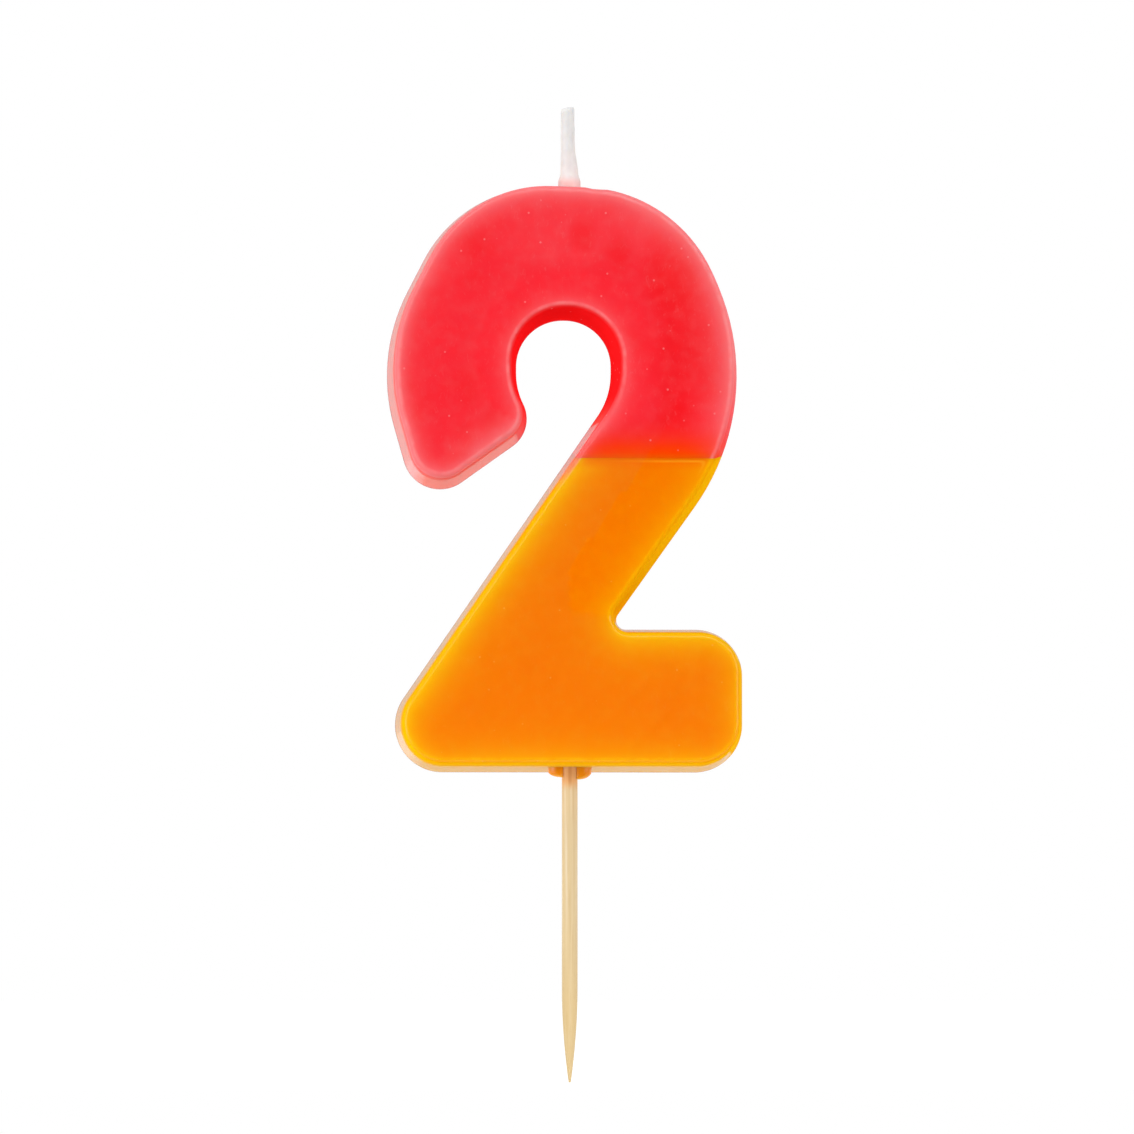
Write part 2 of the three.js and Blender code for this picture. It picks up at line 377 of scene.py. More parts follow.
def castDigit():  # both castings in one mesh, with each point's distance from the nearest side wall
    counts = straightCounts()
    rows = wallProfile()
    rings = [outlineRing(inset, counts) for _, inset in rows]
    size = len(rings[0])
    bm = bmesh.new()
    rim = bm.verts.layers.float.new("rimDistance")
    paintedShade = bm.verts.layers.float.new("paintedShade")
    facingLight = bm.verts.layers.float.new("facingLight")
    haloReach = bm.verts.layers.float.new("haloReach")
    verts = []
    shoulderY = -digit["thickness"] / 2 + digit["shoulderDepth"]
    for (y, inset), ring in zip(rows, rings):
        row = [bm.verts.new((p.x, y, p.y)) for p in ring]
        for vert in row:
            vert[rim] = inset - digit["draft"]
            if y > shoulderY:
                vert[rim] = min(inset - digit["draft"], shoulderY - y)
        for i, vert in enumerate(row):
            span = ring[(i + 1) % size] - ring[i - 1]
            vert[facingLight] = lit(span.y, -span.x)
            vert[haloReach] = haloAt(vert.co, span.y / span.length)
        verts.append(row)
    for back, front in zip(verts, verts[1:]):
        for i in range(size):
            j = (i + 1) % size
            bm.faces.new((back[i], back[j], front[j], front[i]))
    for vert in verts[0]:
        vert[rim] = 0.0
    for which, facing in ((0, 1), (-1, -1)):
        row, y, ring = verts[which], rows[which][0], rings[which]
        points, faces = facePoints(ring)
        flat = np.array([(p.x, p.y) for p in points])
        distance, turned, rightward = loopDistance(flat[size:], flat[:size])
        made = list(row)
        for p, away, side, right in zip(points[size:], distance, turned, rightward):
            vert = bm.verts.new((p.x, y + faceRelief(p, away, facing), p.y))
            vert[rim] = away + digit["shoulderInset"]
            vert[facingLight] = side
            vert[haloReach] = haloAt(vert.co, right)
            made.append(vert)
        for face in faces:
            corners = [made[i] for i in face]
            bm.faces.new(corners if facing < 0 else corners[::-1])
    for vert in bm.verts:
        vert[paintedShade] = max(inCounter(vert.co), overFoot(vert.co, vert[facingLight]))
    bmesh.ops.recalc_face_normals(bm, faces=bm.faces)
    return bm


def inCounter(place):  # painted shade: 1 round the open space in the head, fading out towards its mouth
    s = counterShade
    centreX, centreZ = digit["counterShift"], digit["height"] - digit["crownWax"] - digit["counterRadius"]
    near = 1 - smoothStep(s["near"], s["far"], math.hypot(place.x - centreX, place.z - centreZ))
    return near * smoothStep(*s["mouth"], place.z - centreZ)


def overFoot(place, facing):  # painted shade on the leaning wall that looks down on to the foot
    if place.x < 0:
        return 0.0
    s = footShade
    high = smoothStep(digit["footHeight"] + s["rise"][0], digit["footHeight"] + s["rise"][1], place.z)
    most = s["orange"] if place.z < colourJoin["height"] else s["coral"]
    return smoothStep(*s["turn"], -facing) * high * most


def faceRelief(p, away, facing):
    s = castSurface
    eased = smoothStep(0, s["ease"], away)
    if facing < 0:
        wave = noise.noise(Vector((p.x, p.y, s["waveLayer"])) / s["waveSize"])
        return s["wave"] * wave * smoothStep(0, s["waveEase"], away) + s["lift"] * eased
    ripple = noise.noise(Vector((p.x, p.y, s["rippleLayer"])) / s["rippleSize"])
    return -s["sink"] * smoothStep(0, s["sinkReach"], away) + s["ripple"] * ripple * eased - s["backSet"]


def refineCrown(bm):  # smaller faces where the wax is drawn up round the wick
    lowest = digit["height"] - wickFillet["netDepth"]
    for reach in wickFillet["netReaches"]:
        near = [e for e in bm.edges if all(
            v.co.z > lowest and math.hypot(v.co.x - wickPlace["x"], v.co.y) < reach for v in e.verts)]
        bmesh.ops.subdivide_edges(bm, edges=near, cuts=1, use_grid_fill=True)
    for vert in bm.verts:
        vert.co.z += crownShape(*vert.co)


def cutAtJoin(bm):  # fine loops on both sides of the colour line, so that both castings end in a clean edge
    slope = math.radians(colourJoin["tilt"])
    normal = Vector((0, -math.sin(slope), math.cos(slope)))
    for offset in (*colourJoin["loops"], 0.0):
        faces = [f for f in bm.faces if f.calc_center_median().x > hookRight()]
        geom = list({v for f in faces for v in f.verts}) + list({e for f in faces for e in f.edges}) + faces
        at = Vector((0, 0, colourJoin["height"])) + normal * offset
        bmesh.ops.bisect_plane(bm, geom=geom, dist=1e-5, plane_co=at, plane_no=normal)


def castPart(whole, lower):
    bm = whole.copy()
    limit = hookRight()

    def isLower(face):
        centre = face.calc_center_median()
        return centre.z < joinHeight(centre.y) and (centre.x > limit or centre.z < hookBottom())

    bmesh.ops.delete(bm, geom=[f for f in bm.faces if isLower(f) != lower], context="FACES")
    rimEdges = [e for e in bm.edges if e.is_boundary]
    made = bmesh.ops.contextual_create(bm, geom=rimEdges)
    bmesh.ops.triangulate(bm, faces=made["faces"])
    bmesh.ops.dissolve_degenerate(bm, dist=1e-4, edges=bm.edges)
    for vert in bm.verts:
        vert.co *= mm
    return bm


# Dyed paraffin wax, poured into a polished mould: smooth and slightly glossy, with light carried
# through it, so that thin edges glow paler than the thick middle.
# The edge colour is the painted glow of the pale rim, the line colour a painted highlight, the wall colours
# painted light and reflection, and the hollow colour painted shade; facing and hollowEdge make the rim stronger
# towards the light and weaker in shade.
coralWax = dict(
    middle="fc2634", deep="f9101a", pale="ff3e48", edge="ff8689", edgeReach=1.0, facing=0.0,
    wallFacingLight="fb8478", wallLow="ff6a55", wallFacingAway="f5757a", wallFront="ff6c6a", paintedReflectionDepth=3.2,
    hollowShade="ff1a1e", hollowEdge=0.6, line="ff9a9c", highlightShare=0.42, backLine="a04a4c",
    blotch=0.5, scatter=(1.0, 0.30, 0.22), speck="ff9a9c")
orangeWax = dict(
    middle="f77a00", deep="f57300", pale="fa8404", edge="fbba04", edgeReach=1.8, facing=0.45,
    wallFacingLight="e8ab62", wallLow="dca036", wallFacingAway="f2ac18", wallFront="fab008", paintedReflectionDepth=5.0,
    hollowShade="faac05", hollowEdge=1.0, line="ffc40c", highlightShare=0.35, backLine="a86a2c",
    blotch=0.4, scatter=(1.0, 0.55, 0.12), speck="ffb050")
# Ovals where the coral face is painted deeper or paler:
# middle x, z, half width, half height, share.
deepPatches = ((13.3, 62.5, 5.0, 6.5, 0.9), (14.2, 53.0, 5.5, 11.0, 0.65), (13.2, 43.6, 3.6, 4.6, 0.85),
               (1.4, 67.4, 2.2, 2.6, 0.5), (5.9, 65.2, 2.4, 2.8, 0.5))
palePatches = ((-1.0, 67.0, 11.0, 5.0, 0.6), (8.0, 68.5, 4.5, 3.5, 0.5), (-16.0, 36.5, 4.5, 4.0, 0.35))
waxDetail = dict(
    blotchSize=7.0, blotchRange=(0.48, 0.68), blotchRoughness=0.55,
    wanderSize=4.0, patchWander=2.6, patchFade=(0.25, 1.1),
    cloudSize=1.6, cloudRange=(0.45, 0.8), cloudShare=0.08,
    speckSpacing=2.1, speckSize=0.17, speckCore=0.4, speckShare=0.5,   # trapped air and dust
    wispSizes=(0.45, 1.0, 0.95), wispLean=0.35, wispTwist=1.3,         # faint cloudy threads in the set wax
    wispRange=(0.60, 0.78), wispShare=0.10,
    grain=0.35, grainHeight=0.006,  # the skin's fine orange peel, drawn a little coarse so that it shows
    wallGrain=0.3,                  # the walls are smoother, polished by the mould's sides
    roughness=0.21, roughSpread=0.04, roughRange=(0.3, 0.7), ior=1.43,
    scatterShare=0.35, scatterDepth=1.1, backShare=0.4,
)
# Bounds on rimDistance in mm: 0 at the front end of the wall, below 0 down the wall, above 0 on a face.
waxZones = dict(wall=(0.15, -0.5), hollowShade=(-0.1, 0.75), back=(-8.3, -9.1), wallFront=-0.2,
                shine=(0.55, 0.1), highlightLine=0.52, highlightLineReach=(0.05, 0.36))
# Bounds on how far a wall faces the light, and on the upward part of its outward way for the underside.
waxTurns = dict(wall=(-0.6, 0.4), under=(-0.62, -0.8), shine=(-0.3, 0.2), highlightLine=(0.48, 0.75))
waxShine = dict(face=0.5, wall=0.4, under=0.02, rising=(0.5, 1.0), hollowShade=0.35)  # specular level by place
highlightLineLook = dict(broken=(0.35, 0.6), weakest=0.35, atCrown=0.15)                # where the painted highlight line gives out
joinTintsAndHighlight = dict(
    warm="fb6c04", warmReach=1.6, warmShare=0.75, warmRim=(0.3, 1.5), warmAtRim=0.2,
    line="ffa21c", lineDrop=0.38, lineBand=(0.04, 0.22), lineRun=(3, 16.5), highlightShare=(0.06, 0.7),
    lineEnd=(0.6, 2.8), lineBend=0.9, lineIn=1.1,
    salmonTint="f0806c", salmonBand=(0.5, 4.5), salmonRim=(0.25, 0.75), salmonShare=0.8, salmonTurn=(-0.3, 0.1))
glow = dict(reach=6.0, sideReach=0.5, atEdge=0.25,  # share of the way up, colour, strength
            colours=((0.0, "fb5a02", 1.0), (0.12, "ff4400", 1.0), (0.26, "ff3a06", 0.95),
                     (0.42, "ff361e", 0.75), (0.65, "ff3430", 0.3), (1.0, "fd2c38", 0.0)))


def waxMaterial(name, wax, glowing):
    material, tree, shader = newMaterial(name)
    d = waxDetail
    coordinates = addNode(tree, "ShaderNodeTexCoord").outputs
    place = coordinates["Object"]
    upward = addNode(tree, "ShaderNodeSeparateXYZ", {"Vector": coordinates["Normal"]}).outputs["Z"]
    rim, inPaintedShade, facing, haloReach = [
        addNode(tree, "ShaderNodeAttribute", attribute_name=layer).outputs["Fac"]
        for layer in ("rimDistance", "paintedShade", "facingLight", "haloReach")]
    cloud = noiseAt(tree, place, d["cloudSize"], 4.0)
    under = softRamp(tree, upward, *waxTurns["under"])
    deepIn = softRamp(tree, rim, waxZones["wallFront"], -wax["paintedReflectionDepth"])
    onWall = softRamp(tree, rim, *waxZones["wall"])
    body = waxBody(tree, wax, place, cloud, glowing)
    edgeShare = waxEdge(tree, wax, rim, haloReach, inPaintedShade, facing)
    # painted glow: the pale rim along the edges
    body = mixed(tree, edgeShare, body, linear(wax["edge"]))
    # painted light and reflection on the walls
    body = mixed(tree, onWall, body, paintedWallLight(tree, wax, facing, under, deepIn, inPaintedShade))
    # painted shade: the deep red of the shaded hollow runs a little on to the face beside it
    hollowShadeShare = product(tree, softRamp(tree, rim, *waxZones["hollowShade"], 1.0, 0.0), inPaintedShade)
    body = mixed(tree, hollowShadeShare, body, linear(wax["hollowShade"]))
    atBack = softRamp(tree, rim, *waxZones["back"], 0.0, d["backShare"])
    body = mixed(tree, atBack, body, linear(wax["backLine"]))  # a dull darker line along the back end of the walls, at the outline
    if glowing:
        body = joinGlow(tree, place, edgeShare, body)
    else:
        body = tintBelowJoin(tree, place, rim, facing, body)
    # painted highlight line along the shoulder
    body = mixed(tree, highlightLineShare(tree, rim, cloud, facing, wax["highlightShare"]), body, linear(wax["line"]))
    spots = addNode(tree, "ShaderNodeTexVoronoi", {"Vector": place, "Scale": 1 / (d["speckSpacing"] * mm)})
    near = d["speckSize"] / d["speckSpacing"]
    dot = ramp(tree, spots.outputs["Distance"], near * d["speckCore"], near, d["speckShare"], 0.0)
    grain = noiseAt(tree, place, d["grain"], 3.0)
    grainShare = ramp(tree, onWall, 0.0, 1.0, 1.0, d["wallGrain"])
    smooth, rough = d["roughness"] - d["roughSpread"], d["roughness"] + d["roughSpread"]
    setInputs(tree, shader, {
        "Base Color": mixed(tree, dot, body, linear(wax["speck"])),
        "Normal": bumpFrom(tree, grain, d["grainHeight"], grainShare),
        "Roughness": ramp(tree, cloud, *d["roughRange"], smooth, rough),
        "IOR": d["ior"],
        "Specular IOR Level": waxLevel(tree, rim, facing, under, deepIn, inPaintedShade),
        "Subsurface Weight": d["scatterShare"],
        "Subsurface Radius": wax["scatter"],
        "Subsurface Scale": d["scatterDepth"] * mm})
    return material


def waxBody(tree, wax, place, cloud, patched):  # the dyed wax away from any edge, uneven in tone
    d = waxDetail
    blotch = noiseAt(tree, place, d["blotchSize"], 3.0, Roughness=d["blotchRoughness"])
    share = softRamp(tree, blotch, *d["blotchRange"], 0.0, wax["blotch"])
    body = mixed(tree, share, linear(wax["middle"]), linear(wax["deep"]))
    if patched:
        wander = noiseAt(tree, place, d["wanderSize"], 2.0, "Color")
        offset = vectors(tree, "SUBTRACT", wander, (0.5, 0.5, 0.5))["Vector"]
        offset = vectors(tree, "MULTIPLY", offset, [d["patchWander"] * mm] * 3)["Vector"]
        moved = vectors(tree, "ADD", place, offset)["Vector"]
        for patches, colour in ((palePatches, wax["pale"]), (deepPatches, wax["deep"])):
            for patch in patches:
                body = mixed(tree, patchShare(tree, moved, *patch), body, linear(colour))
    body = mixed(tree, ramp(tree, cloud, *d["cloudRange"], 0.0, d["cloudShare"]), body, linear(wax["edge"]))
    wisp = stretchedNoise(tree, place, d["wispSizes"], 2.0, d["wispLean"], d["wispTwist"])
    return mixed(tree, ramp(tree, wisp, *d["wispRange"], 0.0, d["wispShare"]), body, linear(wax["speck"]))


def waxEdge(tree, wax, rim, haloReach, inPaintedShade, facing):  # share of the painted pale rim, a painted glow at the edges, fading into the face; weaker in painted shade, stronger on sides facing the light
    onFace = maths(tree, "MAXIMUM", rim, 0.0)
    reach = maths(tree, "DIVIDE", onFace, product(tree, haloReach, wax["edgeReach"]))
    edgeShare = maths(tree, "EXPONENT", product(tree, reach, -1.0))
    lessInShade = ramp(tree, inPaintedShade, 0.0, 1.0, 1.0, wax["hollowEdge"])
    moreTowardLight = maths(tree, "MULTIPLY_ADD", facing, wax["facing"], 1.0)
    return product(tree, edgeShare, lessInShade, moreTowardLight)


def paintedWallLight(tree, wax, facing, under, deepIn, inPaintedShade):  # painted light and reflection on the walls: paler where they face the light, another painted tint underneath, less of it near the front edge, painted shade in the hollows
    turned = ramp(tree, facing, *waxTurns["wall"])
    wall = mixed(tree, turned, linear(wax["wallFacingAway"]), linear(wax["wallFacingLight"]))
    wall = mixed(tree, under, wall, linear(wax["wallLow"]))
    wall = mixed(tree, deepIn, linear(wax["wallFront"]), wall)
    return mixed(tree, inPaintedShade, wall, linear(wax["hollowShade"]))


def waxLevel(tree, rim, facing, under, deepIn, inPaintedShade):  # shiny face, duller walls, none in the hollows
    s = waxShine
    strongest = ramp(tree, facing, *waxTurns["shine"], 0.0, s["wall"])
    strongest = maths(tree, "MULTIPLY_ADD", under, s["under"], strongest)
    onWall = product(tree, ramp(tree, deepIn, *s["rising"]), strongest)
    offFace = ramp(tree, rim, *waxZones["shine"])
    level = addNode(tree, "ShaderNodeMix", {0: offFace, 2: s["face"], 3: onWall}).outputs[0]
    return product(tree, level, ramp(tree, inPaintedShade, 0.0, s["hollowShade"], 1.0, 0.0))


def patchShare(tree, place, x, z, halfWidth, halfHeight, most):  # a soft oval, seen from the front
    shift = vectors(tree, "SUBTRACT", place, (x * mm, 0, z * mm))["Vector"]
    fit = vectors(tree, "MULTIPLY", shift, (1 / (halfWidth * mm), 0, 1 / (halfHeight * mm)))["Vector"]
    return softRamp(tree, vectors(tree, "LENGTH", fit)["Value"], *waxDetail["patchFade"], most, 0.0)


def highlightLineShare(tree, rim, cloud, facing, most):  # painted highlight: a thin pale line on the shoulder, lost on the crown
    away = maths(tree, "ABSOLUTE", maths(tree, "ADD", rim, -waxZones["highlightLine"]))
    line = softRamp(tree, away, *waxZones["highlightLineReach"], most, 0.0)
    broken = ramp(tree, cloud, *highlightLineLook["broken"], highlightLineLook["weakest"], 1.0)
    return product(tree, line, broken, ramp(tree, facing, *waxTurns["highlightLine"], 1.0, highlightLineLook["atCrown"]))


def joinAxes(tree, place):  # the sideways place, and the height above the leaning colour line
    axes = addNode(tree, "ShaderNodeSeparateXYZ", {"Vector": place}).outputs
    slope = math.tan(math.radians(colourJoin["tilt"]))
    lean = maths(tree, "MULTIPLY_ADD", axes["Y"], -slope, axes["Z"])
    return axes["X"], maths(tree, "SUBTRACT", lean, colourJoin["height"] * mm)


def joinGlow(tree, place, edgeShare, body):  # orange light carried up into the coral just above the line
    x, above = joinAxes(tree, place)
    band = addNode(tree, "ShaderNodeValToRGB", {"Fac": ramp(tree, above, 0.0, glow["reach"] * mm)})
    stops = band.color_ramp.elements
    while len(stops) < len(glow["colours"]):
        stops.new(0.5)
    for stop, (at, colour, share) in zip(stops, glow["colours"]):
        stop.position = at
        stop.color = linear(colour, share)
    side = ramp(tree, x, hookRight() * mm, (hookRight() + glow["sideReach"]) * mm)
    inside = ramp(tree, edgeShare, 0.0, 1.0, 1.0, glow["atEdge"])
    return mixed(tree, product(tree, band.outputs["Alpha"], inside, side), body, band.outputs["Color"])


def tintBelowJoin(tree, place, rim, facing, body):  # on the orange below the colour line: a warm tint, a painted highlight along its rounded top edge, and a salmon tint near the rim on sides facing the light
    t = joinTintsAndHighlight
    x, above = joinAxes(tree, place)
    below = product(tree, above, -1.0)

    def within(value, bounds, atLow=1.0, atHigh=0.0):  # bounds in millimetres
        return softRamp(tree, value, bounds[0] * mm, bounds[1] * mm, atLow, atHigh)

    warm = within(below, (0.0, t["warmReach"]), t["warmShare"], 0.0)
    warm = product(tree, warm, softRamp(tree, rim, *t["warmRim"], t["warmAtRim"], 1.0))
    body = mixed(tree, warm, body, linear(t["warm"]))
    # painted highlight: a thin bright line under the join, bending down along the rim
    middle = maths(tree, "ADD", below, -t["lineDrop"] * mm)
    side = maths(tree, "MULTIPLY_ADD", rim, mm, -t["lineIn"] * mm)
    middle = maths(tree, "ABSOLUTE", maths(tree, "SMOOTH_MIN", middle, side, t["lineBend"] * mm))
    line = product(tree, within(middle, t["lineBand"]), within(x, t["lineRun"], *t["highlightShare"]),
                   within(below, t["lineEnd"]))
    body = mixed(tree, line, body, linear(t["line"]))
    salmonTint = softRamp(tree, rim, *t["salmonRim"], t["salmonShare"], 0.0)
    salmonTint = product(tree, within(below, t["salmonBand"]), salmonTint, softRamp(tree, facing, *t["salmonTurn"]))
    return mixed(tree, salmonTint, body, linear(t["salmonTint"]))


def makeCastings():
    whole = castDigit()
    refineCrown(whole)
    cutAtJoin(whole)
    coral = waxMaterial("coralParaffinWax", coralWax, True)
    orange = waxMaterial("orangeParaffinWax", orangeWax, False)
    head = newPiece("headCasting", castPart(whole, False), coral)
    foot = newPiece("footCasting", castPart(whole, True), orange)
    whole.free()
    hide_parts("head_wax")
    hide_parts("foot_wax")
    print("castings made")
    return orange


pick = dict(top=25.8, tip=-39.2, radius=0.98, point=11.5, pointCurve=0.9, tipRadius=0.13,
            oval=0.012, ovalTurn=0.6, ridge=0.022, ridgeRun=14, ridgesRound=4, sides=28, step=0.9)
bambooLook = dict(
    pale="e2d3b4", body="d9c297", warm="d4bb8c", vein="b98c54",
    stain="ecac66", streak="c07418", point="cdb078",
    fibre=0.13, fibreRun=9.0, veinRange=(0.58, 0.72), veinShare=0.55,
    band=0.5, bandRun=26.0, warmAt=0.32, paleAt=0.66,
    cutFrom=-16, cutTo=-34, cutShare=0.75,
    stainFrom=-2.6, stainTo=-1.0, stainShare=0.75, streakFrom=0.10, streakTo=0.34, streakShare=0.6,
    fibreHeight=0.02, fibreBump=0.8, roughness=0.62, ior=1.5)


def bambooMaterial():  # split bamboo, sanded round: pale straw with long darker fibres, no varnish
    material, tree, shader = newMaterial("sandedBamboo")
    b = bambooLook
    place = addNode(tree, "ShaderNodeTexCoord").outputs["Object"]
    axes = addNode(tree, "ShaderNodeSeparateXYZ", {"Vector": place}).outputs
    fine = stretchedNoise(tree, place, (b["fibre"], b["fibre"], b["fibreRun"]), 3.0)
    broad = stretchedNoise(tree, place, (b["band"], b["band"], b["bandRun"]), 2.0)
    straw = addNode(tree, "ShaderNodeValToRGB", {"Fac": broad})
    stops = straw.color_ramp.elements
    stops[0].position, stops[0].color = b["warmAt"], linear(b["warm"])
    stops[1].position, stops[1].color = b["paleAt"], linear(b["pale"])
    stops.new(0.5).color = linear(b["body"])
    veins = ramp(tree, fine, *b["veinRange"], 0.0, b["veinShare"])
    body = mixed(tree, veins, straw.outputs["Color"], linear(b["vein"]))
    cut = softRamp(tree, axes["Z"], b["cutFrom"] * mm, b["cutTo"] * mm, 0.0, b["cutShare"])
    body = mixed(tree, cut, body, linear(b["point"]))  # end grain shows on the point
    waxed = softRamp(tree, axes["Z"], b["stainFrom"] * mm, b["stainTo"] * mm, 0.0, b["stainShare"])
    body = mixed(tree, waxed, body, linear(b["stain"]))
    streak = softRamp(tree, maths(tree, "ABSOLUTE", axes["X"]), b["streakFrom"] * mm, b["streakTo"] * mm,
                      b["streakShare"], 0.0)
    setInputs(tree, shader, {
        "Base Color": mixed(tree, product(tree, streak, waxed), body, linear(b["streak"])),
        "Normal": bumpFrom(tree, fine, b["fibreHeight"], b["fibreBump"]),
        "Roughness": b["roughness"],
        "IOR": b["ior"]})
    return material


def makePick():
    bm = bmesh.new()
    p = pick
    length = p["top"] - p["tip"]
    count = round(length / p["step"])
    heights = [p["tip"] + length * k / count for k in range(count + 1)]
    rings = []
    for z in heights:
        taper = min(1.0, min(z - p["tip"], p["top"] - z) / p["point"])
        curve = math.sin(max(0.0, taper) * math.pi / 2) ** p["pointCurve"]
        radius = p["tipRadius"] + (p["radius"] - p["tipRadius"]) * curve
        ring = []
        for i in range(p["sides"]):
            angle = 2 * math.pi * i / p["sides"]
            x, y = math.cos(angle), math.sin(angle)
            grain = noise.noise(Vector((x * p["ridgesRound"], y * p["ridgesRound"], z / p["ridgeRun"])))
            oval = 1 + p["oval"] * math.cos(2 * angle + p["ovalTurn"])
            r = radius * oval + p["ridge"] * grain * taper
            ring.append(bm.verts.new((r * x * mm, r * y * mm, z * mm)))
        rings.append(ring)
    skinTube(bm, rings)
    piece = newPiece("bambooPick", bm, bambooMaterial())
    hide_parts("pick")
    print("pick made")


def skinTube(bm, rings):  # the side faces between the rings, and both ends
    sides = len(rings[0])
    for low, high in zip(rings, rings[1:]):
        for i in range(sides):
            j = (i + 1) % sides
            bm.faces.new((low[i], low[j], high[j], high[i]))
    bm.faces.new(rings[0][::-1])
    bm.faces.new(rings[-1])


bead = dict(
    reach=2.85, depth=2.1, drop=0.9, bore=1.0, gap=112, sides=44, levels=8,
    uneven=0.09, unevenRun=1.3, unevenLayer=5.0, slant=0.15,
    endWax=0.12, endTaper=0.97, taperFrom=1.45,  # what is left at the two ends, and where they thin
    lipWax=0.1, roll=1.5, bulge=0.8,             # how it rolls in to the pick at its lower edge
    clearance=0.02, tuck=0.75,                   # its top edge reaches up into the foot
    rimTop=1.8, rimFall=1.3,                     # painted shade at the top under the foot, painted glow towards the thin lower edge
)


def makeBead(material):  # a horseshoe of wax: the pick's front shows through its open side
    bm = bmesh.new()
    b = bead
    rim = bm.verts.layers.float.new("rimDistance")
    haloReach = bm.verts.layers.float.new("haloReach")
    half = math.radians(180 - b["gap"] / 2)
    thinnest = b["bore"] + b["endWax"]
    outer, inner = [], []
    for k in range(b["levels"] + 1):
        t = k / b["levels"]
        top = b["clearance"] + (b["tuck"] if k == 0 else 0.0)
        outerRow, innerRow = [], []
        for i in range(b["sides"] + 1):
            angle = -half + 2 * half * i / b["sides"]  # from the front, round the back, to the front
            sideways, back = math.sin(angle), math.cos(angle)
            spot = Vector((sideways * b["unevenRun"], back * b["unevenRun"], b["unevenLayer"]))
            wobble = 1 + b["uneven"] * noise.noise(spot)
            taper = 1 - b["endTaper"] * smoothStep(b["taperFrom"], half, abs(angle))
            oval = math.hypot(b["reach"] * sideways, b["depth"] * back)
            full = thinnest + (oval - thinnest) * wobble * taper
            radius = full + (b["bore"] + b["lipWax"] - full) * t ** b["roll"]
            drop = b["drop"] + b["slant"] * sideways * wobble
            z = top - drop * math.sin(t * math.pi / 2) ** b["bulge"]
            for row, r in ((outerRow, radius), (innerRow, b["bore"])):
                vert = bm.verts.new((r * sideways * mm, r * back * mm, z * mm))
                vert[rim] = b["rimTop"] - b["rimFall"] * t
                vert[haloReach] = 1.0
                row.append(vert)
        outer.append(outerRow)
        inner.append(innerRow)
    for k in range(b["levels"]):
        for i in range(b["sides"]):
            bm.faces.new((outer[k][i], outer[k + 1][i], outer[k + 1][i + 1], outer[k][i + 1]))
            bm.faces.new((inner[k][i], inner[k][i + 1], inner[k + 1][i + 1], inner[k + 1][i]))
        for i in (0, b["sides"]):
            bm.faces.new((outer[k][i], inner[k][i], inner[k + 1][i], outer[k + 1][i]))
    for i in range(b["sides"]):
        for k in (0, b["levels"]):
            bm.faces.new((outer[k][i], outer[k][i + 1], inner[k][i + 1], inner[k][i]))
    piece = newPiece("sealBead", bm, material, sharpAngle=60)
    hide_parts("pick_seal")
    print("bead made")


braid = dict(strands=3, strandRadius=0.37, sway=0.40, cross=0.24, pitch=4.2, sides=10, step=0.35,
             rootGap=0.1, topGap=0.05, stagger=0.14, cutEnd=0.72,
             dark="d9d2c6", light="f3efe8", yarn=0.6, yarnTwist=2.5, yarnHeight=0.03, yarnBump=0.9,
             roughness=0.9, sheen=0.2)
coat = dict(
    radius=0.87, rootRadius=1.16, sides=32, step=0.32, wall=0.2,
    rootDepth=2.2, topGap=0.12,
    flareFoot=0.8, flareTop=80.5,
    swellRound=0.18, swellRight=1.5, swellTurn=0.2,  # more wax clings on the right
    lump=0.03, lumpRise=0.7, lumpSize=1.4, ridge=0.018,
    skirt=0.3, skirtHeights=(74.9, 76.1),            # drawn out where it meets the head
    topPinch=0.1, topTilt=0.12, tiltCurve=8, topDip=0.05,
    grey="e2e0dd", white="f2f0ee", blush="f9b0aa", blushHeights=(74.3, 75.9), blushShare=0.5,
    cloud=0.9, cloudHeight=0.04, cloudBump=0.6, roughness=0.42, ior=1.43,
    scatterShare=0.3, scatter=(1.0, 0.8, 0.6), scatterDepth=0.5)


def cottonMaterial():  # braided cotton yarn: matt, off-white, with a twist of fine fibres
    material, tree, shader = newMaterial("braidedCotton")
    place = addNode(tree, "ShaderNodeTexCoord").outputs["Object"]
    yarn = addNode(tree, "ShaderNodeTexWave",
                   {"Vector": place, "Scale": 1 / (braid["yarn"] * mm), "Distortion": braid["yarnTwist"],
                    "Detail": 2.0},
                   bands_direction="DIAGONAL").outputs["Fac"]
    setInputs(tree, shader, {
        "Base Color": mixed(tree, yarn, linear(braid["dark"]), linear(braid["light"])),
        "Normal": bumpFrom(tree, yarn, braid["yarnHeight"], braid["yarnBump"]),
        "Roughness": braid["roughness"],
        "Sheen Weight": braid["sheen"]})
    return material


def coatMaterial():  # white priming wax over cotton: milky, softly shiny, blushed with coral at the root
    material, tree, shader = newMaterial("whitePrimingWax")
    place = addNode(tree, "ShaderNodeTexCoord").outputs["Object"]
    height = addNode(tree, "ShaderNodeSeparateXYZ", {"Vector": place}).outputs["Z"]
    cloud = noiseAt(tree, place, coat["cloud"], 3.0)
    body = mixed(tree, cloud, linear(coat["grey"]), linear(coat["white"]))
    low, high = coat["blushHeights"]
    blush = softRamp(tree, height, low * mm, high * mm, coat["blushShare"], 0.0)
    setInputs(tree, shader, {
        "Base Color": mixed(tree, blush, body, linear(coat["blush"])),
        "Normal": bumpFrom(tree, cloud, coat["cloudHeight"], coat["cloudBump"]),
        "Roughness": coat["roughness"],
        "IOR": coat["ior"],
        "Subsurface Weight": coat["scatterShare"],
        "Subsurface Radius": coat["scatter"],
        "Subsurface Scale": coat["scatterDepth"] * mm})
    return material


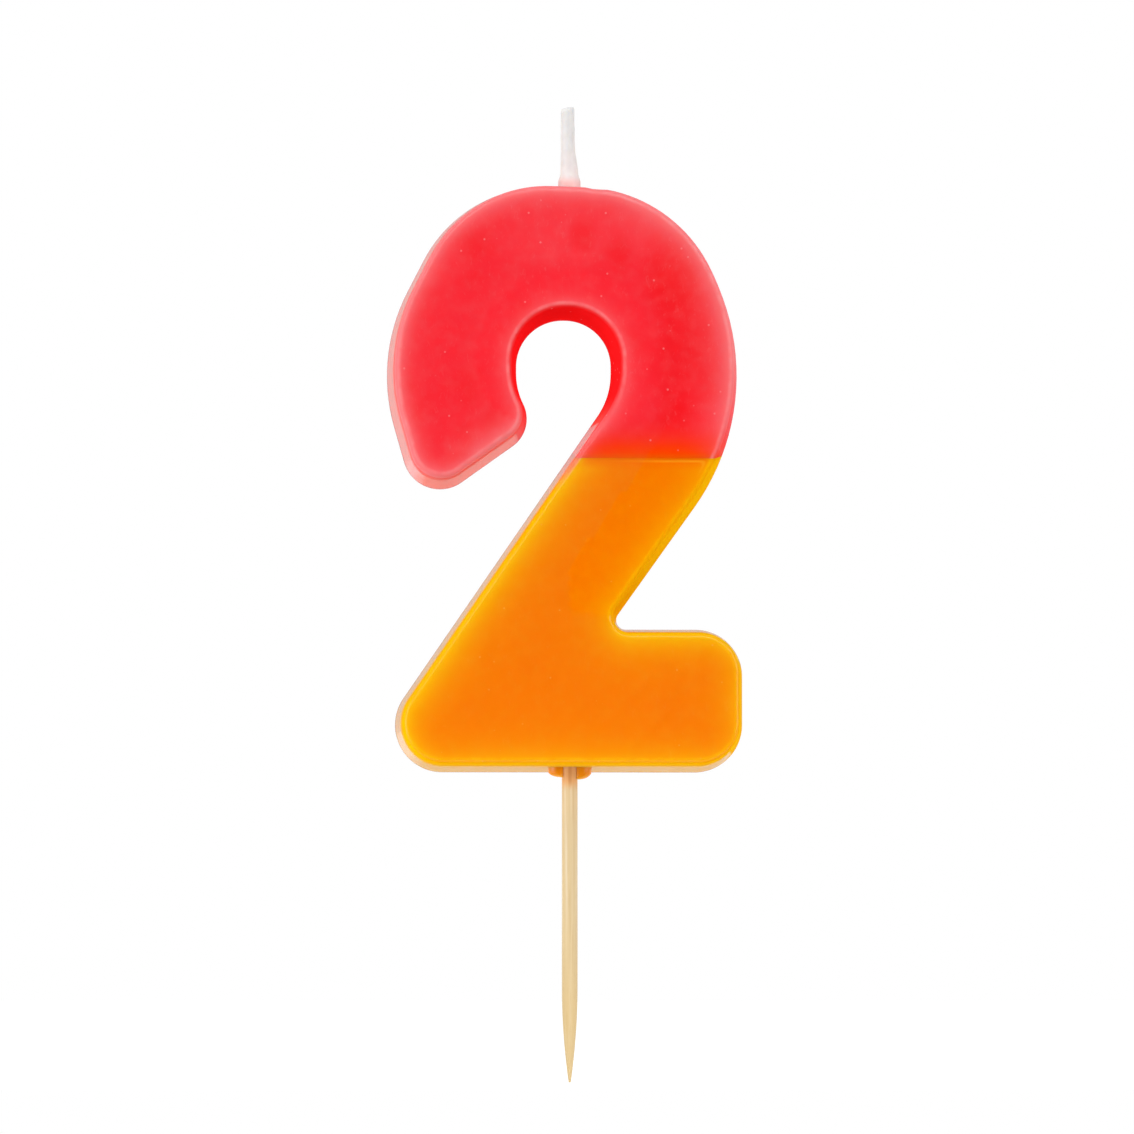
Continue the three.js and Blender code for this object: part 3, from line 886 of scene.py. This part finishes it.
def makeBraid():
    bm = bmesh.new()
    b = braid
    low, high = wickPlace["foot"] + b["rootGap"], wickPlace["top"] - b["topGap"]
    count = round((high - low) / b["step"])
    for strand in range(b["strands"]):
        phase = 2 * math.pi * strand / b["strands"]
        end = high - b["stagger"] * strand
        rings = []
        for k in range(count + 1):
            z = low + (end - low) * k / count
            t = 2 * math.pi * z / b["pitch"] + phase
            centre = Vector((wickPlace["x"] + b["sway"] * math.sin(t), b["cross"] * math.sin(2 * t), z))
            radius = b["strandRadius"] * (b["cutEnd"] if k == count else 1)
            angles = [2 * math.pi * i / b["sides"] for i in range(b["sides"])]
            spots = [centre + Vector((math.cos(a), math.sin(a), 0)) * radius for a in angles]
            rings.append([bm.verts.new(spot * mm) for spot in spots])
        skinTube(bm, rings)
    piece = newPiece("wickBraid", bm, cottonMaterial(), body=None, sharpAngle=70)
    bendWick(piece)
    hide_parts("wick_root")
    print("braid made")


def makeCoat():
    bm = bmesh.new()
    c = coat
    low, high = wickPlace["bend"] - c["rootDepth"], wickPlace["top"] - c["topGap"]
    count = round((high - low) / c["step"])
    outer, inner = [], []
    for k in range(count + 1):
        z = low + (high - low) * k / count
        flare = 1 - smoothStep(wickPlace["bend"] - c["flareFoot"], c["flareTop"], z)
        skirt = c["skirt"] * (1 - smoothStep(*c["skirtHeights"], z)) ** 2
        pinch, dip = (c["topPinch"], c["topDip"]) if k == count else (0, 0)
        ringOut, ringIn = [], []
        for i in range(c["sides"]):
            angle = 2 * math.pi * i / c["sides"]
            across, back = math.cos(angle), math.sin(angle)
            towards = max(0.0, math.cos(angle - c["swellTurn"]))
            swell = (c["rootRadius"] - c["radius"]) * flare * (c["swellRound"] + c["swellRight"] * towards)
            lump = c["lump"] * noise.noise(Vector((across, back, z * c["lumpRise"])) * c["lumpSize"])
            ridge = c["ridge"] * math.sin(2 * angle + 2 * math.pi * z / braid["pitch"])
            r = c["radius"] + swell + lump + ridge + skirt - pinch
            end = z + c["topTilt"] * across * (k / count) ** c["tiltCurve"]
            ringOut.append(bm.verts.new(Vector((wickPlace["x"] + r * across, r * back, end)) * mm))
            r = c["radius"] - c["wall"]
            ringIn.append(bm.verts.new(Vector((wickPlace["x"] + r * across, r * back, end - dip)) * mm))
        outer.append(ringOut)
        inner.append(ringIn)
    for i in range(c["sides"]):
        j = (i + 1) % c["sides"]
        for k in range(count):
            bm.faces.new((outer[k][i], outer[k][j], outer[k + 1][j], outer[k + 1][i]))
            bm.faces.new((inner[k][j], inner[k][i], inner[k + 1][i], inner[k + 1][j]))
        bm.faces.new((outer[-1][i], outer[-1][j], inner[-1][j], inner[-1][i]))
        bm.faces.new((outer[0][j], outer[0][i], inner[0][i], inner[0][j]))
    piece = newPiece("wickCoat", bm, coatMaterial(), body=None, sharpAngle=50)
    bendWick(piece)
    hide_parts("wick")
    print("wick coat made")


def bendWick(piece):  # sets the piece's placement into its mesh
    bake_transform(piece)


view = dict(left=2.3, below=3.3, distance=0.9, aim=(-0.34, 0, 25.86), angle=9.117, nearest=0.01)
studio = dict(
    background=1.0, behind=0.68, inFront=0.03, turn=(-0.75, 0.25),  # the paper, dark only behind the camera
    floorColour="959595", floorShine=0.87, floorRoughness=0.9,
    floorSize=3, floorFront=-0.05, floorGap=0.0001,                 # in metres
    aim=(0, 0, 35),
    # name, place and size in metres, power in watts
    lights=(("softLeft", (-0.75, -0.55, 0.10), (0.6, 0.8), 5.4),
            ("softRight", (0.75, -0.60, 0.25), (0.6, 0.8), 4.7),
            ("softFront", (-0.05, -0.80, 0.50), (0.9, 0.4), 3.4)))


def makeCamera():
    data = bpy.data.cameras.new("viewCamera")
    camera = bpy.data.objects.new("viewCamera", data)
    bpy.context.collection.objects.link(camera)
    a, e = math.radians(view["left"]), math.radians(view["below"])
    away = Vector((-math.sin(a) * math.cos(e), -math.cos(a) * math.cos(e), -math.sin(e)))
    camera.location = Vector(view["aim"]) * mm + away * view["distance"]
    camera.rotation_euler = (-away).to_track_quat("-Z", "Y").to_euler()
    data.angle = math.radians(view["angle"])
    data.clip_start = view["nearest"]
    bpy.context.scene.camera = camera


def makeFloor():  # white paper, matt and evenly bright, so that no edge or texture shows
    bm = bmesh.new()
    bmesh.ops.create_grid(bm, x_segments=1, y_segments=1, size=studio["floorSize"])
    for vert in bm.verts:
        vert.co.y = max(vert.co.y, studio["floorFront"])  # the paper ends just in front of the candle
    material, tree, shader = newMaterial("paleFloor")
    setInputs(tree, shader, {
        "Base Color": linear(studio["floorColour"]),
        "Roughness": studio["floorRoughness"],
        "Emission Color": (1, 1, 1, 1),
        "Emission Strength": studio["floorShine"]})
    floor = newPiece("floor", bm, material, body=None)
    floor.location.z = cadBox[0][2] - studio["floorGap"]


def makeLight(name, place, size, power):
    data = bpy.data.lights.new(name, "AREA")
    data.shape = "RECTANGLE"
    data.size, data.size_y = size
    data.energy = power
    light = bpy.data.objects.new(name, data)
    light.location = place
    target = Vector(studio["aim"]) * mm
    light.rotation_euler = (target - Vector(place)).to_track_quat("-Z", "Y").to_euler()
    bpy.context.collection.objects.link(light)


def makeWorld():  # white paper all round, darker only where the camera stands
    world = bpy.data.worlds.new("paperCove")
    world.use_nodes = True
    tree = world.node_tree
    tree.nodes.clear()
    way = addNode(tree, "ShaderNodeTexCoord").outputs["Generated"]
    depth = addNode(tree, "ShaderNodeSeparateXYZ", {"Vector": way}).outputs["Y"]
    shade = softRamp(tree, depth, *studio["turn"], studio["inFront"], studio["behind"])
    isCamera = addNode(tree, "ShaderNodeLightPath").outputs["Is Camera Ray"]
    strength = addNode(tree, "ShaderNodeMix", {0: isCamera, 2: shade, 3: studio["background"]})
    paper = addNode(tree, "ShaderNodeBackground", {"Color": (1, 1, 1, 1), "Strength": strength.outputs[0]})
    addNode(tree, "ShaderNodeOutputWorld", {"Surface": paper.outputs["Background"]})
    bpy.context.scene.world = world


makeCamera()
makeFloor()
makeWorld()
for light in studio["lights"]:
    makeLight(*light)
bpy.context.scene.view_settings.view_transform = "Standard"
print("stage set")

orangeMade = makeCastings()
makePick()
makeBead(orangeMade)
makeBraid()
makeCoat()
